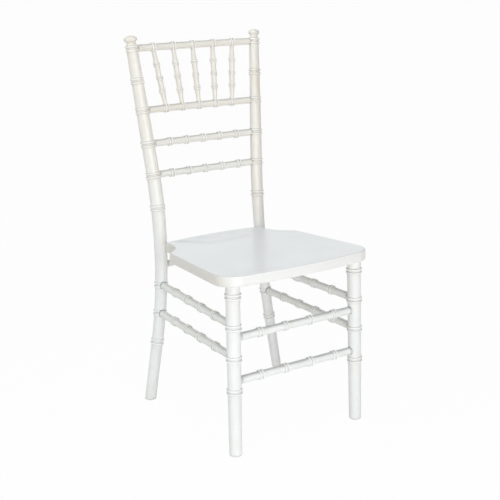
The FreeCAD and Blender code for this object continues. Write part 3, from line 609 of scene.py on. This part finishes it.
# Height above the neck, along the post, and radius
FINIAL = (
    (0.4, 12.7), (1.7, 11.8), (3.5, 11.3), (5.6, 11.3), (7.2, 12.0), (8.4, 13.3), (9.4, 14.8),
    (10.6, 15.9), (12, 16.5), (13.9, 16.6), (15.9, 16.1), (17.9, 14.8), (19.7, 12.5),
    (21.1, 9.4), (22, 6), (22.4, 3),
)


def host_ring(host, place, height, extra):
    """A ring round a post or leg at a height, with the thickness that it has at a place."""
    centre, wide, deep, way = host.at(height)
    half_width, half_depth = host.half_axes(place)
    return ring(centre, wide, deep, half_width + extra, half_depth + extra, HOST_SIDES), way


def foot_rings(host):
    rings = []
    for inset, height in FOOT_EDGE:
        points, way = host_ring(host, height, height, -inset)
        rings.append(slid(points, way, Vector((0, 0, height)), UP))
    return rings, [height for _, height in FOOT_EDGE]


def joint_cutters(host):
    return [shape for joint in host.joints for shape in joint.cutters()]


def post_mesh(side, word):
    post = POSTS[side]
    turning = Turning(POST_RINGS, *POST_BEADS, "post" + word, 0.5)
    neck = POST_RINGS[0] + TOP_BEAD + NECK
    rings, lengths = foot_rings(post)
    for height in turning.places(STEM_START, neck, POST_STEP):
        points, way = host_ring(post, height, height, turning.extra(height))
        level = max(0.0, 1 - (height - FOOT_TOP) / FLOOR_TURN)
        rings.append(slid(points, way, Vector((0, 0, height)), UP, level))
        lengths.append(height)
    tilt = post.at(neck)[3].z
    for rise, radius in FINIAL:
        height = neck + rise * tilt
        centre, wide, deep, _ = post.at(height)
        half_width, half_depth = post.half_axes(height)
        depth = radius * half_depth / half_width
        rings.append(ring(centre, wide, deep, radius, depth, HOST_SIDES))
        lengths.append(height)
    piece = tube(f"back_post_{word}_wood", rings, turning, lengths)
    middle = SEAT_HEIGHT - math.tan(SEAT_PITCH) * SCREW_PLACE - SEAT_THICK / 2
    inward = SEAT.to_3x3() @ Vector((-math.sin(SCREW_INWARD), -math.cos(SCREW_INWARD), 0))
    inward.x *= side
    cover = to_surface(post, middle, -inward)
    bore = cutter(post.at(middle)[0] - inward * cover, inward, PLUG_BORE)
    recess = cutter(post.mirror(post.FOOT), UP, GLIDE_RECESS)
    return carve(piece, [bore, *joint_cutters(post), recess])


def leg_mesh(side, word):
    leg = LEGS[side]
    turning = Turning(LEG_RINGS, *LEG_BEADS, "leg" + word, 0.4)
    under = SEAT @ Vector((0, 0, -SEAT_THICK + LEG_OVERLAP))
    top = (under - leg.foot).dot(SEAT_UP) / leg.way.dot(SEAT_UP)
    rings, lengths = foot_rings(leg)
    for distance in turning.places(STEM_START, top, LEG_STEP):
        extra = turning.extra(distance)
        points, way = host_ring(leg, distance, distance * leg.way.z, extra)
        level = max(0.0, 1 - (distance - FOOT_TOP) / FLOOR_TURN)
        points = slid(points, way, Vector((0, 0, distance)), UP, level)
        level = max(0.0, 1 - (top - distance) / SEAT_TURN)
        rings.append(slid(points, way, under, SEAT_UP, level))
        lengths.append(distance)
    piece = tube(f"front_leg_{word}_wood", rings, turning, lengths)
    recess = cutter(leg.foot, UP, GLIDE_RECESS)
    return carve(piece, [recess, *joint_cutters(leg)])


for side, word in SIDES.items():
    pieces[f"back_post_{word}"] = post_mesh(side, word)
    pieces[f"front_leg_{word}"] = leg_mesh(side, word)


# Seat


def arc(start, end, radius, bulge, steps):
    """Points of an arc from start to end. It stands out to the right where bulge is positive, and
    to the left where it is negative."""
    chord = end - start
    half = chord.length / 2
    out = Vector((chord.y, -chord.x)).normalized() * (1 if bulge > 0 else -1)
    hub = (start + end) / 2 - out * math.sqrt(radius**2 - half**2)
    spread = math.asin(half / radius)
    along = chord.normalized()
    return [
        hub + out * (radius * math.cos(a)) + along * (radius * math.sin(a))
        for a in (spread * (2 * step / steps - 1) for step in range(steps + 1))
    ]


def bowed(start, end, bow, steps):
    """Points of an arc from start to end that stands out to the right by bow."""
    half = (end - start).length / 2
    return arc(start, end, (half**2 + bow**2) / (2 * bow), 1, steps)


def rounded_corner(before, corner, after, radius, steps):
    """Points of a fillet at a corner between two nearly straight sides."""
    to_before = (before - corner).normalized()
    to_after = (after - corner).normalized()
    half = to_before.angle(to_after) / 2
    hub = corner + (to_before + to_after).normalized() * (radius / math.sin(half))
    first = corner + to_before * (radius / math.tan(half)) - hub
    last = corner + to_after * (radius / math.tan(half)) - hub
    total = first.angle_signed(last)
    return [
        hub + (Matrix.Rotation(-total * step / steps, 2) @ first) for step in range(steps + 1)
    ]


# The right half of the seat's outline: its front corner, the two ends of the cove and the back's
FRONT = Vector((212.5, -235.3))
SHOULDER, EAR, BACK = Vector((187, 54)), Vector((145, 150)), Vector((138, 154.4))
FRONT_BOW, BACK_BOW = 16.7, 14.2
CORNER_RADIUS, SHOULDER_RADIUS, COVE_RADIUS = 52, 12, 80


def seat_outline():
    """The right half of the seat's outline in its own plane, from the front to the back."""
    front_arc = bowed(Vector((-FRONT.x, FRONT.y)), FRONT, FRONT_BOW, 80)
    fillet = rounded_corner(front_arc[-6], FRONT, SHOULDER, CORNER_RADIUS, 22)
    points = [p for p in front_arc if 0 <= p.x < fillet[0].x - 1]
    points += fillet
    cove = arc(SHOULDER, EAR, COVE_RADIUS, -1, 26)
    turn = rounded_corner(FRONT, SHOULDER, cove[3], SHOULDER_RADIUS, 8)
    start = fillet[-1]
    points += [start + (turn[0] - start) * step / 24 for step in range(1, 24)]
    points += turn
    points += [p for p in cove if p.y > turn[-1].y + 1][:-1]
    points += [EAR + (BACK - EAR) * step / 3 for step in range(4)]
    back_arc = bowed(BACK, Vector((-BACK.x, BACK.y)), BACK_BOW, 56)
    points += [p for p in back_arc[1:] if p.x >= 0]
    return points


# Middle, half width and half length of the seat's shallow dish, its depth and how flat it is
DISH_MIDDLE, DISH_WIDTH, DISH_LENGTH, DISH_DEPTH, DISH_FLATNESS = -45, 205, 195, 2.6, 0.8
# Where the lip along the back starts to rise, how long it rises and how high
LIP_START, LIP_LENGTH, LIP_HEIGHT = 108, 46, 1.2


def seat_relief(x, y):
    """Height of the seat's top above its plane: a shallow dish and a lip along the back."""
    across, ahead = x / DISH_WIDTH, (y - DISH_MIDDLE) / DISH_LENGTH
    dish = max(0.0, 1 - across**4 - ahead**4)
    rear = clamp((y - LIP_START) / LIP_LENGTH)
    return -DISH_DEPTH * dish**DISH_FLATNESS + LIP_HEIGHT * smooth(rear)


# Soft painted shade streaks on the seat: start, end, half width and strength at both ends
SEAT_SHADE_STREAKS = (
    (Vector((-128, 158)), Vector((-42, 75)), 15, 0.3, 0.1),
    (Vector((-30, 84)), Vector((62, 90)), 20, 0.1, 0.14),
)


def seat_shade(x, y):
    """How much painted shade darkens the seat's top at a place."""
    total = 0.0
    for start, end, width, first, last in SEAT_SHADE_STREAKS:
        along = end - start
        share = clamp((Vector((x, y)) - start).dot(along) / along.length_squared)
        off = (Vector((x, y)) - start - along * share).length / width
        total = max(total, (first + (last - first) * share) * max(0.0, 1 - off * off))
    return total


SEAT_MIDDLE = Vector((0, DISH_MIDDLE))
# Shares of the outline's size on the underside
SEAT_UNDER = (0.12, 0.35, 0.6, 0.85, 0.96)
# Inset and height of the rows over the rim
SEAT_EDGE = (
    (3, -25), (1.5, -24.7), (0.45, -23.9), (0, -22.5), (0, -17), (0, -11), (0, -5), (0, -3.2),
    (0.3, -1.9), (0.95, -0.9), (1.9, -0.3), (3.2, 0),
)
# Shares of the outline's size on the top, and the share over which the relief sets in
SEAT_TOP = (
    0.992, 0.98, 0.965, 0.945, 0.92, 0.89, 0.85, 0.8, 0.74, 0.67, 0.59, 0.5, 0.41, 0.32, 0.22,
    0.12,
)
RELIEF_START = 0.07
# The rim's rows that catch dirt, and how much
ARRIS_ROWS, ARRIS_DIRT = slice(9, 11), 0.3
# The painted shade streaks reach down to this height on the rim
SHADE_FLOOR = -4
# The rim's outward direction is averaged over this many points on each side
SMOOTHED = 4
# Room between the seat and a post, and the heights over which it is cut
COPE_GAP = 0.25
COPE_HEIGHTS = (360, 380, 400, 420, 440)


def seat_mesh():
    """The panel, in rows that follow its outline from under its middle, over the rim, to its
    top."""
    half = seat_outline()
    outline = half + [Vector((-p.x, p.y)) for p in reversed(half) if p.x > 0.01]
    count = len(outline)
    chords = [outline[(index + 1) % count] - outline[index - 1] for index in range(count)]
    straight = [Vector((chord.y, -chord.x)).normalized() for chord in chords]
    outward = []
    for index in range(count):
        near = (straight[(index + step) % count] for step in range(-SMOOTHED, SMOOTHED + 1))
        outward.append(sum(near, Vector((0, 0))).normalized())
    made = bmesh.new()

    def row(share, inset, height, relief):
        verts = []
        for point, out in zip(outline, outward):
            x, y = SEAT_MIDDLE + (point - out * inset - SEAT_MIDDLE) * share
            rise = height + seat_relief(x, y) * relief
            verts.append(made.verts.new(SEAT @ Vector((x, y, rise)) * MM))
        return verts

    rim_inset = SEAT_EDGE[-1][0]
    under = [row(share, SEAT_EDGE[0][0], -SEAT_THICK, 0) for share in SEAT_UNDER]
    rim = [row(1, inset, height, 0) for inset, height in SEAT_EDGE]
    top = [row(share, rim_inset, 0, min(1.0, (1 - share) / RELIEF_START)) for share in SEAT_TOP]
    rows = under + rim + top
    for low, high in zip(rows, rows[1:]):
        for index in range(count):
            after = (index + 1) % count
            made.faces.new((low[index], low[after], high[after], high[index]))
    made.faces.new(rows[0])
    hub = made.verts.new(SEAT @ Vector((*SEAT_MIDDLE, seat_relief(*SEAT_MIDDLE))) * MM)
    for index in range(count):
        made.faces.new((rows[-1][index], rows[-1][(index + 1) % count], hub))
    bmesh.ops.recalc_face_normals(made, faces=made.faces)
    arris = {vert for verts in rim[ARRIS_ROWS] for vert in verts}
    finish = made.loops.layers.uv.new("finish")
    to_plane = SEAT.inverted()
    for face in made.faces:
        face.smooth = True
        for loop in face.loops:
            spot = to_plane @ (loop.vert.co / MM)
            # Painted shade streaks on the top, and dirt on the arris, go into the finish layer
            shade_streak = seat_shade(spot.x, spot.y) if spot.z > SHADE_FLOOR else 0.0
            loop[finish].uv = (max(shade_streak, ARRIS_DIRT if loop.vert in arris else 0.0), 0.0)
    mesh = bpy.data.meshes.new("seat_panel")
    made.to_mesh(mesh)
    made.free()
    mesh.set_sharp_from_angle(angle=SHARP)
    piece = add_object("seat_panel", mesh)
    copes = []
    for post in POSTS.values():
        rings = [host_ring(post, height, height, COPE_GAP)[0] for height in COPE_HEIGHTS]
        copes.append(tube("cutter", rings))
    return carve(piece, copes)


pieces["seat"] = seat_mesh()


# Materials


class Nodes:
    """A small helper for building the nodes of a material or of the world."""

    def __init__(self, owner):
        owner.use_nodes = True
        self.owner = owner
        self.tree = owner.node_tree
        self.tree.nodes.clear()

    def add(self, kind, inputs=(), **settings):
        """A node with its settings, and its inputs linked to a socket or set to a value."""
        node = self.tree.nodes.new(kind)
        for key, value in settings.items():
            setattr(node, key, value)
        for key, value in dict(inputs).items():
            if isinstance(value, bpy.types.NodeSocket):
                self.tree.links.new(value, node.inputs[key])
            else:
                node.inputs[key].default_value = value
        return node

    def ramp(self, source, low, high, out_low=0.0, out_high=1.0):
        return self.add("ShaderNodeMapRange", {
            "Value": source,
            "From Min": low, "From Max": high, "To Min": out_low, "To Max": out_high,
        }).outputs["Result"]

    def mix(self, factor, first, second):
        """One colour passing into another. The numbers are the sockets of a colour mix."""
        inputs = {0: factor, 6: first, 7: second}
        return self.add("ShaderNodeMix", inputs, data_type="RGBA").outputs[2]

    def math(self, operation, first, second=0.0):
        return self.add("ShaderNodeMath", {0: first, 1: second}, operation=operation).outputs[0]

    def noise(self, coords, scale, detail=2.0, roughness=0.5):
        return self.add("ShaderNodeTexNoise", {
            "Vector": coords, "Scale": scale, "Detail": detail, "Roughness": roughness,
        }).outputs["Fac"]


def rgb(red, green, blue):
    """A colour given in the 0 to 255 values in which it is seen."""
    linear = [
        c / 12.92 if c <= 0.04045 else ((c + 0.055) / 1.055) ** 2.4
        for c in (v / 255 for v in (red, green, blue))
    ]
    return (*linear, 1.0)


WHITE, SHADE, WARM = rgb(247, 248, 248), rgb(243, 244, 244), rgb(240, 232, 217)
YELLOWED = rgb(231, 212, 188)
# Whiter paint on the bead crests: wear with a painted highlight
WORN_HIGHLIGHT = rgb(253, 253, 251)
# Colour of dirt and of painted shade in gaps, grooves and on the bars' tops
GRIME_AND_SHADE = rgb(112, 106, 95)
# Painted shade on the seat's rim: darker on its sides and warmer all round
PAINTED_SIDE_SHADE, PAINTED_RIM_SHADE = rgb(222, 214, 202), rgb(240, 235, 226)
# Stretching of the grain for pieces that lie along an axis
ALONG_X, ALONG_Y, ALONG_Z = (0.12, 1, 1), (1, 0.12, 1), (1, 1, 0.12)


def lacquer(name, stretch, base=WHITE, shade=SHADE, warm=WARM, rough=0.32, coat=0.12, coarse=1.0,
            aged=0.6, streaked=0.0, grimed_and_shaded=0.6, top_shade_share=0.0, rim=0.0):
    """Sprayed lacquer over turned wood. Base and shade make a soft mottling and warm is the hue of
    its age. The shares are of the grain's strength, ageing and warm streaks towards the top, dirt
    and painted shade in the grooves and gaps, painted shade on top of the bars, and painted shade
    on the seat's rim."""
    n = Nodes(bpy.data.materials.new(name))
    place = n.add("ShaderNodeTexCoord").outputs["Object"]
    height = n.add("ShaderNodeSeparateXYZ", {"Vector": place}).outputs["Z"]
    finish = n.add("ShaderNodeUVMap", uv_map="finish").outputs["UV"]
    marks = n.add("ShaderNodeSeparateXYZ", {"Vector": finish}).outputs
    groove_dirt_and_shade, crest = marks["X"], marks["Y"]
    normal = n.add("ShaderNodeNewGeometry").outputs["Normal"]
    facing = n.add("ShaderNodeSeparateXYZ", {"Vector": normal}).outputs
    along = n.add("ShaderNodeMapping", {"Vector": place, "Scale": stretch}).outputs["Vector"]
    cloud = n.noise(place, 9.0, 3.0)
    blotch = n.noise(place, 31.0, 2.0)
    grain = n.noise(along, 60.0, 4.0, 0.6)
    speck = n.noise(place, 420.0, 1.0)

    # Mottling, age and grain
    colour = n.mix(n.ramp(cloud, 0.35, 0.7), base, shade)
    colour = n.mix(n.math("MULTIPLY", n.ramp(height, 0.3, 0.75), aged), colour, warm)
    colour = n.mix(n.math("MULTIPLY", n.ramp(blotch, 0.5, 0.75), 0.3 * coarse), colour, warm)
    colour = n.mix(n.math("MULTIPLY", n.ramp(grain, 0.55, 0.8), 0.12 * coarse), colour, warm)
    streak = n.ramp(n.noise(along, 24.0, 2.0), 0.5, 0.66, 0.0, streaked)
    colour = n.mix(n.math("MULTIPLY", streak, n.ramp(height, 0.3, 0.8)), colour, YELLOWED)

    # Wear and a painted highlight on the crests, and painted shade on the seat's rim
    colour = n.mix(n.math("MULTIPLY", crest, 0.8), colour, WORN_HIGHLIGHT)
    # Painted shade on the seat's rim: a darker tan on faces turned to the sides, a warm tint on
    # upright faces
    side_shade = n.ramp(n.math("ABSOLUTE", facing["X"]), 0.5, 0.95, 0.0, rim)
    colour = n.mix(side_shade, colour, PAINTED_SIDE_SHADE)
    rim_shade_share = n.ramp(n.math("ABSOLUTE", facing["Z"]), 0.2, 0.7, 0.35 * rim, 0.0)
    colour = n.mix(rim_shade_share, colour, PAINTED_RIM_SHADE)

    # Dirt and painted shade in the gaps, the grooves and at the bars' ends, painted shade on top of
    # the bars between the crests, and dirt at the feet
    # Ambient occlusion darkens gaps, joints and crevices: painted shade, with some dirt
    occlusion = n.add("ShaderNodeAmbientOcclusion", {"Distance": 0.006}, samples=8).outputs["AO"]
    crevice_dirt_and_shade = n.ramp(occlusion, 0.3, 0.6, min(1.0, grimed_and_shaded + 0.3), 0.0)
    # Grooves and bar ends darken most on upward faces: dirt and painted shade under the beads and
    # at the sockets
    upward_share = n.ramp(facing["Z"], 0.1, 0.9, 0.45 * grimed_and_shaded, grimed_and_shaded)
    dirt_and_shade = n.math("MAXIMUM", crevice_dirt_and_shade, n.math("MULTIPLY", groove_dirt_and_shade, upward_share))
    # Painted shade on the upward faces of the bars, between the crests
    top_shade = n.ramp(facing["Z"], 0.62, 0.94, 0.0, top_shade_share)
    top_shade = n.math("MULTIPLY", top_shade, n.ramp(crest, 0.0, 0.5, 1.0, 0.1))
    dirt_and_shade = n.math("MAXIMUM", dirt_and_shade, top_shade)
    dirt_and_shade = n.math("MAXIMUM", dirt_and_shade, n.ramp(height, 0.001, 0.007, 0.4, 0.0))
    dirt_and_shade = n.math("MULTIPLY", dirt_and_shade, n.ramp(blotch, 0.2, 0.7, 0.7, 1.0))
    colour = n.mix(n.math("MULTIPLY", dirt_and_shade, 0.9), colour, GRIME_AND_SHADE)

    relief = n.math("ADD", n.math("MULTIPLY", grain, 0.4 * coarse), blotch)
    relief = n.math("ADD", relief, n.math("MULTIPLY", speck, 0.08 * coarse))
    bump = n.add("ShaderNodeBump", {
        "Height": relief, "Strength": 0.3 * coarse, "Distance": 0.0004,
    })
    shader = n.add("ShaderNodeBsdfPrincipled", {
        "Base Color": colour, "Roughness": n.ramp(blotch, 0.3, 0.7, rough, rough + 0.1),
        "Normal": bump.outputs["Normal"], "Coat Weight": coat, "Coat Roughness": 0.18,
    })
    n.add("ShaderNodeOutputMaterial", {"Surface": shader.outputs["BSDF"]})
    return n.owner


def mottled(name, colour, metallic, rough, scale):
    """Plated steel or moulded nylon with a fine uneven finish."""
    n = Nodes(bpy.data.materials.new(name))
    place = n.add("ShaderNodeTexCoord").outputs["Object"]
    mottle = n.noise(place, scale, 3.0)
    darker = tuple(c * 0.78 for c in colour[:3]) + (1.0,)
    bump = n.add("ShaderNodeBump", {"Height": mottle, "Strength": 0.2, "Distance": 0.0002})
    shader = n.add("ShaderNodeBsdfPrincipled", {
        "Base Color": n.mix(n.ramp(mottle, 0.3, 0.75), colour, darker), "Metallic": metallic,
        "Roughness": n.ramp(mottle, 0.3, 0.7, rough, rough + 0.15),
        "Normal": bump.outputs["Normal"],
    })
    n.add("ShaderNodeOutputMaterial", {"Surface": shader.outputs["BSDF"]})
    return n.owner


upright = lacquer("lacquer_upright", ALONG_Z, streaked=0.55)
slender = lacquer("lacquer_slender", ALONG_Z, grimed_and_shaded=0.3)
crosswise = lacquer("lacquer_crosswise", ALONG_X, grimed_and_shaded=0.8, top_shade_share=0.5)
# The side stretchers' warmer base is a painted tint of the warm shade they sit in under the seat
shade_tinted_lengthwise = lacquer(
    "lacquer_lengthwise_shade_tinted", ALONG_Y, base=rgb(248, 248, 245), shade=rgb(245, 245, 240),
    grimed_and_shaded=1.0, top_shade_share=0.35,
)
# Its rim share paints shade on the seat's edges
seat_finish = lacquer(
    "lacquer_seat", (1, 0.1, 1), warm=rgb(240, 238, 233), rough=0.3, coat=0.3, coarse=0.25,
    aged=0.0, grimed_and_shaded=1.0, rim=0.6,
)
steel = mottled("zinc_plated_steel", rgb(176, 176, 174), 1.0, 0.35, 900.0)
nylon = mottled("nylon", rgb(232, 229, 220), 0.0, 0.5, 300.0)


def piece_finish(name):
    if name == "seat":
        return seat_finish
    if name.startswith(("back_post", "front_leg")):
        return upright
    if name.startswith("side_stretcher"):
        return shade_tinted_lengthwise
    if name.startswith("spindle_") and name != "spindle_rail":
        return slender
    return crosswise


def paint(piece, finish):
    piece.data.materials.clear()
    piece.data.materials.append(finish)


for name, piece in pieces.items():
    paint(piece, piece_finish(name))
    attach(piece, "root")
    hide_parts(name)

NODE_FINISHES = {
    "joint_pins": steel,
    "seat_screws": steel,
    "screw_plugs": upright,
    "foot_glides": nylon,
}
for name, finish in NODE_FINISHES.items():
    paint(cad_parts[name], finish)


# Floor, backdrop and light


def show_white(n, lit, white, output, share=1.0):
    """Ends a material or the world with a white that only the camera, reflections and glass see,
    by a share, and with a lit shader that all other rays meet."""
    path = n.add("ShaderNodeLightPath").outputs
    seen = n.math("MAXIMUM", path["Is Camera Ray"], path["Is Glossy Ray"])
    seen = n.math("MAXIMUM", seen, path["Is Transmission Ray"])
    both = n.add("ShaderNodeMixShader", {
        0: n.math("MULTIPLY", seen, share), 1: lit.outputs[0], 2: white.outputs[0],
    })
    n.add(output, {"Surface": both.outputs[0]})


PLAIN_WHITE = {"Color": (1, 1, 1, 1), "Strength": 1.0}
FLOOR_HALF = 25
corners = [(x * FLOOR_HALF, y * FLOOR_HALF, 0) for x, y in ((-1, -1), (1, -1), (1, 1), (-1, 1))]
floor_mesh = bpy.data.meshes.new("floor")
floor_mesh.from_pydata(corners, [], [(0, 1, 2, 3)])
floor = add_object("floor", floor_mesh)
n = Nodes(bpy.data.materials.new("floor_paint"))
matt = n.add("ShaderNodeBsdfDiffuse", {"Color": (0.86, 0.86, 0.85, 1)})
glow = n.add("ShaderNodeEmission", PLAIN_WHITE)
# The share that is left keeps the chair's shadow on the matt floor
show_white(n, matt, glow, "ShaderNodeOutputMaterial", 0.97)
paint(floor, n.owner)

# The world's own light is warm, and weakest from the right and the front
world = bpy.context.scene.world or bpy.data.worlds.new("studio")
bpy.context.scene.world = world
n = Nodes(world)
around = n.add("ShaderNodeTexCoord").outputs["Generated"]
RIGHT_FRONT = (0.837, -0.547, 0)
aim = {0: around, 1: RIGHT_FRONT}
towards = n.add("ShaderNodeVectorMath", aim, operation="DOT_PRODUCT").outputs["Value"]
soft = n.add("ShaderNodeBackground", {
    "Color": (1.0, 0.985, 0.96, 1), "Strength": n.ramp(towards, -1, 1, 0.52, 0.135),
})
white = n.add("ShaderNodeBackground", PLAIN_WHITE)
show_white(n, soft, white, "ShaderNodeOutputWorld")


def lamp(name, place, aim, width, power, colour):
    light = bpy.data.lights.new(name, "AREA")
    light.shape = "SQUARE"
    light.size = width
    light.energy = power
    light.color = colour
    holder = bpy.data.objects.new(name, light)
    bpy.context.scene.collection.objects.link(holder)
    holder.location = place
    holder.rotation_euler = (Vector(aim) - Vector(place)).to_track_quat("-Z", "Y").to_euler()


lamp("key_front", (-0.65, -2.45, 0.6), (0, 0, 0.42), 1.6, 35.5, (1.0, 1.0, 1.0))
lamp("top_front", (0.0, -0.8, 3.2), (0, 0, 0.4), 2.0, 15.6, (0.84, 0.94, 1.0))
lamp("top_left", (-1.8, 0.0, 2.6), (0, 0, 0.4), 2.0, 19.8, (0.87, 0.96, 1.0))
lamp("back_glow", (1.6, 2.6, 1.5), (0, 0, 0.45), 2.2, 3.2, (0.94, 0.98, 1.0))


# Camera

# Its turn and tilt, the point it is aimed at, its distance, and its shift down in its own plane
AZIMUTH, ELEVATION = math.radians(33.15), math.radians(16.86)
AIM, DISTANCE, DROP = Vector((0, -19.3, 451.0)), 2514.46, 34.67
forward = Vector((
    math.sin(AZIMUTH) * math.cos(ELEVATION),
    math.cos(AZIMUTH) * math.cos(ELEVATION),
    -math.sin(ELEVATION),
))
right = Vector((math.cos(AZIMUTH), -math.sin(AZIMUTH), 0))
upward = right.cross(forward)
lens = bpy.data.cameras.new("photo_view")
lens.lens = 73.87
lens.sensor_width = 36
lens.clip_end = 60
camera = bpy.data.objects.new("photo_view", lens)
bpy.context.scene.collection.objects.link(camera)
camera.location = (AIM - forward * DISTANCE - upward * DROP) * MM
camera.rotation_euler = Matrix((right, upward, -forward)).transposed().to_euler()
bpy.context.scene.camera = camera
bpy.context.scene.view_settings.view_transform = "Standard"
